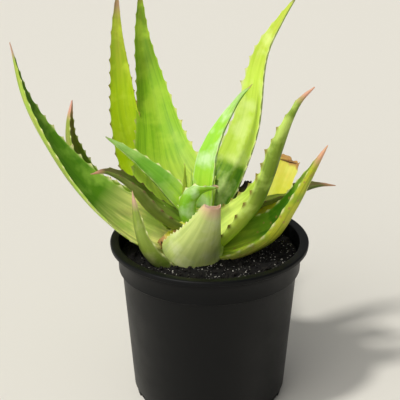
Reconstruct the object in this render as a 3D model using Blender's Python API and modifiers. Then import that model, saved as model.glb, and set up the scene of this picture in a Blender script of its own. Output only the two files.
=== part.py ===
"""A young aloe in a nursery pot: a rosette of channelled leaves on a short stem, its soil and the pot.

The origin is the centre of the pot's underside, +Z is up and -Y is the front. Leaf paths are measured
from the crown, the point where the rosette's axis meets the soil.
"""

import math
from dataclasses import dataclass

import bmesh
import bpy
import numpy as np
from mathutils import Matrix
from mathutils.bvhtree import BVHTree

MM = 0.001

# Driving sizes of the pot.
POT_HEIGHT = 110 * MM
LIP_RADIUS = 65 * MM
LIP_OVERHANG = 4.5 * MM
LIP_HEIGHT = 3.5 * MM
LIP_ROUND = 1.2 * MM
COLLAR_HEIGHT = 19 * MM
COLLAR_STEP = 2.2 * MM
COLLAR_DRAFT = 1 * MM
BODY_DRAFT = 7 * MM
FOOT_HEIGHT = 6 * MM
FOOT_INSET = 1.7 * MM
WALL = 1.6 * MM
POT_STEPS = 64

# Drainage slots through the foot's corner.
SLOT_COUNT = 8
SLOT_WIDTH = 9 * MM
SLOT_HEIGHT = 9 * MM
SLOT_DEPTH = 9 * MM

# Soil and crown.
SOIL_DROP = 10 * MM
SOIL_DOME = 1.5 * MM
SOIL_STEPS = 48
CROWN_X = -10 * MM
CROWN_Y = 6 * MM
STEM_RADIUS = 13 * MM
STEM_TOP_RADIUS = 6 * MM
STEM_HEIGHT = 20 * MM
STEM_ROOTING = 12 * MM
STEM_STEPS = 20

# Leaves. PATHS_REACH is the shortest way from the crown's axis to the lip's edge that their paths were
# set for, and PATHS_DROP how far below the lip's top the paths' zero height lay.
ROSETTE_SCALE = 1.0
PATHS_REACH = 53.34 * MM
PATHS_DROP = 10 * MM
GAP = 0.3 * MM
RINGS = 13
ACROSS = 6
TIP_WIDTH = 0.03
MARGIN_FALL = 2.4
MARGIN_ROUND = 0.75

# Sizes that follow from the driving ones.
COLLAR_RADIUS = LIP_RADIUS - LIP_OVERHANG
COLLAR_BASE_RADIUS = COLLAR_RADIUS - COLLAR_DRAFT
BODY_RADIUS = COLLAR_BASE_RADIUS - COLLAR_STEP
BASE_RADIUS = BODY_RADIUS - BODY_DRAFT
FOOT_RADIUS = BASE_RADIUS - FOOT_INSET
COLLAR_BASE = POT_HEIGHT - COLLAR_HEIGHT
FLOOR_TOP = WALL
FLOOR_RADIUS = FOOT_RADIUS - WALL
SOIL_TOP = POT_HEIGHT - SOIL_DROP
LIP_REACH = LIP_RADIUS - math.hypot(CROWN_X, CROWN_Y)
LEAF_SCALE = ROSETTE_SCALE * LIP_REACH / PATHS_REACH

FRESH = ("#8FB52E", 0.42)
DEEP = ("#5E8F22", 0.42)
OLIVE = ("#55663A", 0.45)
YELLOW = ("#C9CC3A", 0.5)
DRIED = ("#8A7A52", 0.75)
STEM_GREEN = ("#A9B65A", 0.6)
SOIL_BLACK = ("#1B1916", 0.95)
POT_BLACK = ("#232324", 0.42)


@dataclass(frozen=True)
class Leaf:
    """One leaf: a channelled blade along a path from its foot to its tip.

    path holds (heading in degrees, distance from the crown's axis in mm, height above the soil in mm).
    back is the heading that the leaf's back faces, fold half the angle of its channel and tilt its roll,
    each at the foot, half way and at the tip. end is the share of the width left at a cut end.
    """

    name: str
    finish: tuple
    path: tuple
    back: tuple
    width: float
    foot_width: float
    thick: float
    fold: tuple = (40, 40, 40)
    tilt: tuple = (0, 0, 0)
    widest: float = 0.2
    fullness: float = 1.3
    end: float = TIP_WIDTH


LEAVES = (
    Leaf("leaf_front_cut", FRESH,
         ((268, 11, -7), (269, 20, -1), (272, 26, 8), (279, 34, 23), (285.5, 45, 49)), (272, 280, 284),
         width=51, foot_width=44, thick=8, fold=(85, 72, 50), widest=0.25, fullness=0.85, end=0.23),
    Leaf("spear_left", FRESH,
         ((190, 6, 21), (188, 6, 42), (186, 6, 61)), (270, 270, 270),
         width=6, foot_width=5, thick=1.2, fullness=1.0),
    Leaf("spear_right", FRESH,
         ((225, 3, 21), (220, 2, 40), (200, 2, 57)), (270, 270, 270),
         width=5, foot_width=4, thick=1.2, fullness=1.0),
    Leaf("leaf_centre_curl", FRESH,
         ((215, 5, 18), (228, 7, 31), (240, 6, 38), (300, 5, 43), (336, 10, 45), (344, 15, 46)),
         (235, 275, 300),
         width=12, foot_width=10, thick=3, fold=(35, 40, 40), fullness=2.4, end=0.3),
    Leaf("leaf_inner_left", DEEP,
         ((160, 4, 28), (163, 20, 45), (160, 33, 54), (159, 46, 62), (156, 64, 69)), (158, 158, 158),
         width=15, foot_width=14, thick=4, fold=(30, 30, 30), tilt=(-25, -25, -20), fullness=1.4),
    Leaf("leaf_right_inner", FRESH,
         ((50, 8, 26), (48, 13, 58), (47, 23, 76), (45, 39, 93), (44, 53, 102)), (60, 40, 25),
         width=18, foot_width=15, thick=4, fold=(30, 30, 30), widest=0.3, fullness=1.2),
    Leaf("leaf_left_arched", OLIVE,
         ((195, 8, 18), (187, 26, 32), (190, 41, 50), (192, 56, 60), (192, 67.5, 59)), (188, 192, 193),
         width=25, foot_width=22, thick=6, fold=(35, 35, 35), fullness=1.4),
    Leaf("leaf_right_upright", FRESH,
         ((-8, 12, 8), (-16, 30, 27), (-15, 40.5, 41), (-14, 48, 58), (-12, 53, 74), (-10, 60, 93),
          (-7, 67, 106), (-5, 76, 115)), (-12, -10, -5),
         width=26, foot_width=26, thick=7, fold=(50, 60, 50), tilt=(35, -5, -45), fullness=1.1),
    Leaf("leaf_back_tall", DEEP,
         ((120, 8, 14), (119, 37, 39), (113, 64, 62), (111.5, 81, 86), (112, 95, 117), (111.5, 101, 150)),
         (110, 100, 90),
         width=61, foot_width=36, thick=7, fold=(35, 35, 35), fullness=0.6),
    Leaf("leaf_right_tall", FRESH,
         ((62, 10, 10), (53.5, 37, 40), (49, 54, 72), (46.5, 60, 107), (42, 62, 126), (35.5, 68, 144),
          (30, 77, 162)), (60, 50, 30),
         width=28, foot_width=22, thick=6, fold=(30, 30, 30)),
    Leaf("leaf_left_large", DEEP,
         ((190, 12, 7), (184, 48, 27), (181, 79, 57), (180, 105, 101), (180, 115, 142)), (180, 180, 180),
         width=35, foot_width=29, thick=6, fold=(28, 42, 45), tilt=(-45, -22, 10), widest=0.15,
         fullness=1.0),
    Leaf("leaf_right_low", FRESH,
         ((-18, 14, 2), (-16, 31, 8), (-15, 51, 20), (-14, 64, 39), (-13, 74, 58), (-12, 86, 80)),
         (-15, -15, -12),
         width=34, foot_width=30, thick=7, fold=(45, 45, 45), tilt=(25, 12, 0)),
    Leaf("leaf_back_left", FRESH,
         ((128, 14, 6), (124, 63, 33), (126, 78, 64), (126, 84, 96), (126, 88, 126), (126, 87, 156)),
         (115, 85, 80),
         width=31, foot_width=22, thick=6, fold=(35, 35, 35), fullness=1.2),
    Leaf("leaf_front_thin", FRESH,
         ((232, 26, -6), (228, 33, 2), (223, 41, 14), (216, 44, 30), (207, 44, 50)), (225, 210, 200),
         width=19, foot_width=17, thick=5, fullness=1.2),
    Leaf("leaf_right_broken", YELLOW,
         ((26, 16, 6), (24, 43, 18), (24.5, 57, 31), (25, 70, 52)), (25, 25, 25),
         width=27, foot_width=18, thick=4, fold=(25, 25, 25), tilt=(20, 40, 40), fullness=1.6, end=0.6),
    Leaf("leaf_right_arched", OLIVE,
         ((40, 14, 8), (28, 44, 24), (18, 70, 33), (16, 85, 36), (17, 99, 33)), (30, 18, 17),
         width=24, foot_width=16, thick=5, fold=(35, 35, 35), fullness=1.7),
    Leaf("leaf_left_small", FRESH,
         ((152, 16, 6), (150, 60, 22.5), (151, 81, 33), (151, 94, 54), (150, 97, 71), (148.5, 96, 86)),
         (160, 160, 155),
         width=33, foot_width=20, thick=5, tilt=(0, 10, 15), fullness=1.9),
    Leaf("stub_back_right", DRIED,
         ((35, 14, 16), (28, 34, 29), (30, 42, 39)), (32, 30, 28),
         width=14, foot_width=12, thick=3, end=0.5),
    Leaf("stub_front_upper", FRESH,
         ((239, 10, 20), (228, 13, 19), (223, 17, 15)), (230, 222, 222),
         width=10, foot_width=9, thick=2.5, end=0.45),
    Leaf("stub_front_lower", YELLOW,
         ((225, 9, 14), (215, 18, 12), (210, 25, 8)), (225, 215, 210),
         width=14, foot_width=13, thick=3, end=0.6),
)


def remove_everything():
    """Empties the scene that the script starts in."""
    for obj in list(bpy.data.objects):
        bpy.data.objects.remove(obj, do_unlink=True)


def new_collection(name):
    """Adds a collection to the scene."""
    collection = bpy.data.collections.new(name)
    bpy.context.scene.collection.children.link(collection)
    return collection


def linear(colour):
    """Turns an sRGB hex colour into linear RGBA."""
    channels = [int(colour[place:place + 2], 16) / 255 for place in (1, 3, 5)]
    return tuple(c / 12.92 if c <= 0.04045 else ((c + 0.055) / 1.055) ** 2.4 for c in channels) + (1.0,)


def finish_material(name, finish):
    """Makes a plain Principled material from a hex colour and a roughness."""
    colour, roughness = finish
    material = bpy.data.materials.new(name)
    material.use_nodes = True
    shader = material.node_tree.nodes["Principled BSDF"]
    shader.inputs["Base Color"].default_value = linear(colour)
    shader.inputs["Roughness"].default_value = roughness
    shader.inputs["Metallic"].default_value = 0.0
    return material


def add_object(name, mesh, collection, finish):
    """Links a mesh as a named object that has its own material."""
    obj = bpy.data.objects.new(name, mesh)
    collection.objects.link(obj)
    mesh.materials.append(finish_material(name, finish))
    return obj


def add_cutter(name, mesh, collection):
    """Links a mesh as a cutter, which never renders."""
    obj = bpy.data.objects.new(name, mesh)
    collection.objects.link(obj)
    obj.hide_render = True
    obj.display_type = "WIRE"
    return obj


def outline_mesh(name, points):
    """Makes an open outline of (radius, height) points in the XZ plane."""
    mesh = bpy.data.meshes.new(name)
    edges = [(index, index + 1) for index in range(len(points) - 1)]
    mesh.from_pydata([(radius, 0, height) for radius, height in points], edges, [])
    return mesh


def spin_outline(obj, steps):
    """Turns an object's outline about its Z axis into a closed solid."""
    screw = obj.modifiers.new("turn", "SCREW")
    screw.steps = steps
    screw.render_steps = steps
    screw.use_merge_vertices = True
    screw.merge_threshold = 0.0001
    screw.use_smooth_shade = True


def cut(obj, cutter):
    """Takes a cutter's shape out of an object."""
    boolean = obj.modifiers.new(cutter.name, "BOOLEAN")
    boolean.operation = "DIFFERENCE"
    boolean.solver = "EXACT"
    boolean.object = cutter


def quarter_round(centre_radius, centre_height, size, start, steps=3):
    """Lists the points of a quarter circle that runs clockwise from a start angle in degrees."""
    points = []
    for step in range(steps + 1):
        angle = math.radians(start - 90 * step / steps)
        points.append((centre_radius + size * math.cos(angle), centre_height + size * math.sin(angle)))
    return points


def inner_radius(height):
    """Gives the radius of the pot's inner wall at a height in the body."""
    share = (height - FOOT_HEIGHT) / (COLLAR_BASE - FOOT_HEIGHT)
    return BASE_RADIUS + (BODY_RADIUS - BASE_RADIUS) * share - WALL


def build_pot(collection, cutters):
    """Turns the pot's shell and cuts its drainage slots."""
    mouth = COLLAR_RADIUS - WALL
    outline = [(0, FLOOR_TOP), (FLOOR_RADIUS, FLOOR_TOP)]
    outline.append((FLOOR_RADIUS, FOOT_HEIGHT - FOOT_INSET / 2))
    outline.append((BASE_RADIUS - WALL, FOOT_HEIGHT))
    outline.append((inner_radius(COLLAR_BASE - WALL), COLLAR_BASE - WALL))
    outline.append((COLLAR_BASE_RADIUS - WALL, COLLAR_BASE + COLLAR_STEP - WALL))
    outline += quarter_round(mouth + LIP_ROUND, POT_HEIGHT - LIP_ROUND, LIP_ROUND, 180)
    outline += quarter_round(LIP_RADIUS - LIP_ROUND, POT_HEIGHT - LIP_ROUND, LIP_ROUND, 90)
    outline.append((LIP_RADIUS - LIP_ROUND / 3, POT_HEIGHT - LIP_HEIGHT))
    outline.append((COLLAR_RADIUS, POT_HEIGHT - LIP_HEIGHT - LIP_ROUND / 2))
    outline.append((COLLAR_BASE_RADIUS, COLLAR_BASE))
    outline.append((BODY_RADIUS, COLLAR_BASE - COLLAR_STEP / 2))
    outline.append((BASE_RADIUS, FOOT_HEIGHT))
    outline.append((FOOT_RADIUS, FOOT_HEIGHT - FOOT_INSET / 2))
    outline.append((FOOT_RADIUS, 0))
    outline.append((0, 0))
    pot = add_object("pot", outline_mesh("pot", outline), collection, POT_BLACK)
    spin_outline(pot, POT_STEPS)
    slots = bmesh.new()
    for index in range(SLOT_COUNT):
        slot = bmesh.ops.create_cube(slots, size=1.0)["verts"]
        bmesh.ops.scale(slots, vec=(SLOT_DEPTH, SLOT_WIDTH, SLOT_HEIGHT), verts=slot)
        bmesh.ops.translate(slots, vec=(FOOT_RADIUS, 0, 0), verts=slot)
        turn = Matrix.Rotation(math.tau * (index + 0.5) / SLOT_COUNT, 3, "Z")
        bmesh.ops.rotate(slots, cent=(0, 0, 0), matrix=turn, verts=slot)
    mesh = bpy.data.meshes.new("drainage_slots")
    slots.to_mesh(mesh)
    slots.free()
    cut(pot, add_cutter("drainage_slots", mesh, cutters))


def build_soil(collection):
    """Turns the soil that fills the pot up to just under its lip."""
    bottom = FLOOR_TOP + GAP
    shoulder = COLLAR_BASE - WALL
    edge = COLLAR_BASE_RADIUS - WALL - GAP
    outline = [(0, SOIL_TOP + SOIL_DOME), (edge * 0.6, SOIL_TOP + SOIL_DOME * 0.7), (edge, SOIL_TOP)]
    outline.append((edge, COLLAR_BASE + COLLAR_STEP - WALL + GAP))
    outline.append((inner_radius(shoulder) - GAP, shoulder))
    outline.append((BASE_RADIUS - WALL - GAP, FOOT_HEIGHT + GAP))
    outline.append((FLOOR_RADIUS - GAP, FOOT_HEIGHT - FOOT_INSET / 2 + GAP))
    outline.append((FLOOR_RADIUS - GAP, bottom))
    outline.append((0, bottom))
    soil = add_object("soil", outline_mesh("soil", outline), collection, SOIL_BLACK)
    spin_outline(soil, SOIL_STEPS)
    return soil


def stem_mesh(name, grow):
    """Makes the short stem as a tapered cylinder, grown all round by a gap if it is to be a cutter."""
    work = bmesh.new()
    height = STEM_HEIGHT + STEM_ROOTING + 2 * grow
    bmesh.ops.create_cone(work, cap_ends=True, segments=STEM_STEPS, radius1=STEM_RADIUS + grow,
                          radius2=STEM_TOP_RADIUS + grow, depth=height)
    middle = SOIL_TOP + (STEM_HEIGHT - STEM_ROOTING) / 2
    bmesh.ops.translate(work, vec=(CROWN_X, CROWN_Y, middle), verts=work.verts)
    mesh = bpy.data.meshes.new(name)
    work.to_mesh(mesh)
    work.free()
    return mesh


def through(values, places):
    """Reads a smooth curve through values at the start, half way and the end."""
    first, middle, last = values
    return (first * (1 - places) * (1 - 2 * places) + 4 * middle * places * (1 - places)
            + last * places * (2 * places - 1))


def smooth_path(points, count):
    """Reads evenly spaced points off a Catmull-Rom curve through the given points."""
    ends = np.vstack([2 * points[0] - points[1], points, 2 * points[-1] - points[-2]])
    dense = []
    for before, start, stop, after in zip(ends, ends[1:], ends[2:], ends[3:]):
        for u in np.linspace(0, 1, 16, endpoint=False):
            dense.append(0.5 * (2 * start + (stop - before) * u
                                + (2 * before - 5 * start + 4 * stop - after) * u ** 2
                                + (3 * start - before - 3 * stop + after) * u ** 3))
    dense = np.array(dense + [points[-1]])
    run = np.append(0, np.cumsum(np.linalg.norm(np.diff(dense, axis=0), axis=1)))
    even = np.linspace(0, run[-1], count)
    return np.stack([np.interp(even, run, dense[:, axis]) for axis in range(3)], axis=1)


def blade_width(leaf, place):
    """Gives a leaf's width at a place from 0 at its foot to 1 at its tip."""
    if place < leaf.widest:
        rise = math.sin(place / leaf.widest * math.pi / 2)
        return leaf.foot_width + (leaf.width - leaf.foot_width) * rise
    beyond = (place - leaf.widest) / (1 - leaf.widest)
    return leaf.width * (leaf.end + (1 - leaf.end) * (1 - beyond ** leaf.fullness))


def path_point(heading, distance, height):
    """Places a point of a leaf's path, which rises from the soil at the crown and from the lip further out."""
    turn = math.radians(heading)
    reach = distance * MM * LEAF_SCALE
    outward = min(reach / LIP_REACH, 1)
    zero = SOIL_TOP + (POT_HEIGHT - PATHS_DROP * LEAF_SCALE - SOIL_TOP) * outward
    return CROWN_X + reach * math.cos(turn), CROWN_Y + reach * math.sin(turn), zero + height * MM * LEAF_SCALE


def leaf_rings(leaf, grow):
    """Lists a leaf's cross-sections as rings of points, grown all round by a gap."""
    scale = LEAF_SCALE * MM
    spine = smooth_path(np.array([path_point(*place) for place in leaf.path]), RINGS)
    along = np.gradient(spine, axis=0)
    along /= np.linalg.norm(along, axis=1)[:, None]
    spine[0] -= along[0] * grow
    spine[-1] += along[-1] * grow
    places = np.linspace(0, 1, RINGS)
    backs = np.radians(through(leaf.back, places))
    folds = np.radians(through(leaf.fold, places))
    tilts = np.radians(through(leaf.tilt, places))
    rings = []
    for centre, heading, back, fold, tilt, place in zip(spine, along, backs, folds, tilts, places):
        level = np.array((-math.sin(back), math.cos(back), 0))
        level -= heading * level.dot(heading)
        level /= np.linalg.norm(level)
        inward = np.cross(heading, level)
        side = level * math.cos(tilt) + inward * math.sin(tilt)
        up = inward * math.cos(tilt) - level * math.sin(tilt)
        width = blade_width(leaf, place) * scale
        thick = leaf.thick * scale * (width / (leaf.width * scale)) ** 0.8
        bend = width / 2 / fold
        ring = []
        shares = np.linspace(-1, 1, ACROSS + 1)
        for share in shares:
            lift = grow * min(1, ACROSS / 2 * (1 - abs(share)))
            radius = bend - lift
            angle = share * (fold + grow / bend)
            ring.append(centre + side * radius * math.sin(angle) + up * (bend - radius * math.cos(angle)))
        for share in shares[-2:0:-1]:
            depth = thick * (1 - abs(share) ** MARGIN_FALL) ** MARGIN_ROUND + grow
            radius = bend + depth
            angle = share * (fold + grow / bend)
            ring.append(centre + side * radius * math.sin(angle) + up * (bend - radius * math.cos(angle)))
        rings.append(ring)
    return rings


def leaf_mesh(leaf, name, grow):
    """Lofts a leaf between its cross-sections and closes both ends."""
    work = bmesh.new()
    rings = [[work.verts.new(point) for point in ring] for ring in leaf_rings(leaf, grow)]
    for lower, upper in zip(rings, rings[1:]):
        for index in range(len(lower)):
            after = (index + 1) % len(lower)
            work.faces.new((lower[index], upper[index], upper[after], lower[after]))
    work.faces.new(rings[0])
    work.faces.new(reversed(rings[-1]))
    bmesh.ops.recalc_face_normals(work, faces=work.faces)
    bmesh.ops.triangulate(work, faces=work.faces, quad_method="FIXED")
    mesh = bpy.data.meshes.new(name)
    work.to_mesh(mesh)
    work.free()
    mesh.shade_smooth()
    mesh.set_sharp_from_angle(angle=math.radians(40))
    return mesh


def overlap(first, second):
    """Tells whether two meshes' surfaces cross."""
    trees = []
    for mesh in (first, second):
        corners = [vertex.co for vertex in mesh.vertices]
        trees.append(BVHTree.FromPolygons(corners, [face.vertices for face in mesh.polygons]))
    return bool(trees[0].overlap(trees[1]))


def main_body(mesh):
    """Drops the crumbs that a cut leaves beside a piece's main body."""
    work = bmesh.new()
    work.from_mesh(mesh)
    unseen = set(work.verts)
    bodies = []
    while unseen:
        body = set()
        reached = [unseen.pop()]
        while reached:
            vertex = reached.pop()
            body.add(vertex)
            for edge in vertex.link_edges:
                other = edge.other_vert(vertex)
                if other in unseen:
                    unseen.remove(other)
                    reached.append(other)
        bodies.append(body)
    bodies.sort(key=body_reach)
    for crumb in bodies[:-1]:
        bmesh.ops.delete(work, geom=list(crumb), context="VERTS")
    work.to_mesh(mesh)
    work.free()


def body_reach(vertices):
    """Measures a body by its box's diagonal."""
    corners = np.array([vertex.co for vertex in vertices])
    return np.linalg.norm(corners.max(axis=0) - corners.min(axis=0))


def settle_cuts(obj):
    """Replaces an object's mesh by its cut shape without the crumbs."""
    view = bpy.context.evaluated_depsgraph_get()
    mesh = bpy.data.meshes.new_from_object(obj.evaluated_get(view))
    obj.modifiers.clear()
    obj.data = mesh
    main_body(mesh)


def build_rosette(collection, cutters):
    """Builds the stem and the leaves, each clear of the earlier ones, and returns every piece's room."""
    add_object("stem", stem_mesh("stem", 0), collection, STEM_GREEN)
    placed = [add_cutter("room_stem", stem_mesh("room_stem", GAP), cutters)]
    for leaf in LEAVES:
        obj = add_object(leaf.name, leaf_mesh(leaf, leaf.name, 0), collection, leaf.finish)
        for room in placed:
            if overlap(obj.data, room.data):
                cut(obj, room)
        settle_cuts(obj)
        placed.append(add_cutter("room_" + leaf.name, leaf_mesh(leaf, "room_" + leaf.name, GAP), cutters))
    return placed


def main():
    """Builds the whole plant."""
    remove_everything()
    collection = new_collection("potted_aloe")
    cutters = new_collection("cutters")
    build_pot(collection, cutters)
    soil = build_soil(collection)
    for room in build_rosette(collection, cutters):
        if min(vertex.co.z for vertex in room.data.vertices) < SOIL_TOP + SOIL_DOME + GAP:
            cut(soil, room)


main()
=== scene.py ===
"""A young aloe in a moulded nursery pot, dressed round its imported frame.

The rosette's blades follow the same paths as the frame's leaves and add what those leave plain: the toothed
margins, the channel, the cut, torn and withered ends, and the skin of each leaf.
"""

import logging
import math
from dataclasses import dataclass
from enum import Enum
from typing import Any

import bmesh
import bpy
import numpy as np
from mathutils import Matrix, Vector, noise


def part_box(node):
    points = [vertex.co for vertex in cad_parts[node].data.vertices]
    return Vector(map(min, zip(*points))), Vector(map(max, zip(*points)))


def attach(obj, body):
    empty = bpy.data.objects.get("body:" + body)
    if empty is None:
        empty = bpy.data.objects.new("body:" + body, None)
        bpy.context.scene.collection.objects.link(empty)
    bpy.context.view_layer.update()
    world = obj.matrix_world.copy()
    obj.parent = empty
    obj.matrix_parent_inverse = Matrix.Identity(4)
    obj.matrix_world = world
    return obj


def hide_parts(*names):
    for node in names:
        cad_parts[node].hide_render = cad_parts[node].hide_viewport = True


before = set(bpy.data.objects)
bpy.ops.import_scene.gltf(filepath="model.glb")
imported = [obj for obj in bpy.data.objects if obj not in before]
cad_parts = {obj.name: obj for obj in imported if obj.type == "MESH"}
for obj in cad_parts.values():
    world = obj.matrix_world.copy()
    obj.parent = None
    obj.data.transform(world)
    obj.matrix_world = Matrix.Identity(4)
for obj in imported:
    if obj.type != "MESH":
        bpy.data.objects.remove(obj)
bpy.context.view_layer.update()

MM = 0.001
BODY = "root"
# The soil lies this far above the foot of the stem.
CROWN_RISE = 12 * MM
LOG = logging.getLogger("potted_aloe")


def srgb(colour: str) -> tuple[float, float, float, float]:
    """Turn an sRGB hex colour into linear light.

    Args:
        colour: Six hex digits after a hash mark.

    Returns:
        Linear red, green, blue and an alpha of one.
    """
    channels = [int(colour[place:place + 2], 16) / 255 for place in (1, 3, 5)]
    linear = [c / 12.92 if c <= 0.04045 else ((c + 0.055) / 1.055) ** 2.4 for c in channels]
    return (linear[0], linear[1], linear[2], 1.0)


def set_sockets(tree: bpy.types.NodeTree, node: bpy.types.Node, inputs: dict[Any, Any]) -> None:
    """Write values into a node's sockets, or link other sockets to them.

    Args:
        tree: The material's node tree.
        node: The node.
        inputs: Values, or sockets to link, by input name or number.
    """
    for name, value in inputs.items():
        if isinstance(value, bpy.types.NodeSocket):
            tree.links.new(value, node.inputs[name])
        else:
            node.inputs[name].default_value = value


def add_node(tree: bpy.types.NodeTree, kind: str, settings: dict[str, Any] | None = None,
             inputs: dict[Any, Any] | None = None) -> bpy.types.Node:
    """Add one node with its settings and links.

    Args:
        tree: The material's node tree.
        kind: The node's type.
        settings: Attributes to set on the node.
        inputs: Values, or sockets to link, by input name or number.

    Returns:
        The new node.
    """
    node = tree.nodes.new(kind)
    for name, value in (settings or {}).items():
        setattr(node, name, value)
    set_sockets(tree, node, inputs or {})
    return node


def set_ramp(node: bpy.types.Node, stops: list[tuple[float, str]]) -> None:
    """Give a colour ramp its stops.

    Args:
        node: The ColorRamp node, fresh from add_node with its two first stops.
        stops: Places from 0 to 1 in rising order, with their sRGB hex colours.
    """
    ramp = node.color_ramp
    for index, (place, colour) in enumerate(stops):
        element = ramp.elements[index] if index < 2 else ramp.elements.new(place)
        element.position = place
        element.color = srgb(colour)


def new_material(name: str) -> tuple[bpy.types.Material, bpy.types.NodeTree, bpy.types.Node]:
    """Start a material.

    Args:
        name: What the real material is.

    Returns:
        The material, its node tree and its Principled shader.
    """
    material = bpy.data.materials.new(name)
    material.use_nodes = True
    tree = material.node_tree
    return material, tree, tree.nodes["Principled BSDF"]


def add_object(name: str, data: bpy.types.ID) -> bpy.types.Object:
    """Put a mesh, a lamp or a camera into the scene.

    Args:
        name: The object's name.
        data: What it holds.

    Returns:
        The object, at the origin.
    """
    obj = bpy.data.objects.new(name, data)
    bpy.context.scene.collection.objects.link(obj)
    return obj


def finish_mesh(work: bmesh.types.BMesh, name: str) -> bpy.types.Object:
    """Turn a modelled shape into a piece, and free it.

    Args:
        work: The shape, with its place in its vertices.
        name: The piece's name.

    Returns:
        The piece.
    """
    mesh = bpy.data.meshes.new(name)
    work.to_mesh(mesh)
    work.free()
    return add_object(name, mesh)


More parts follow.
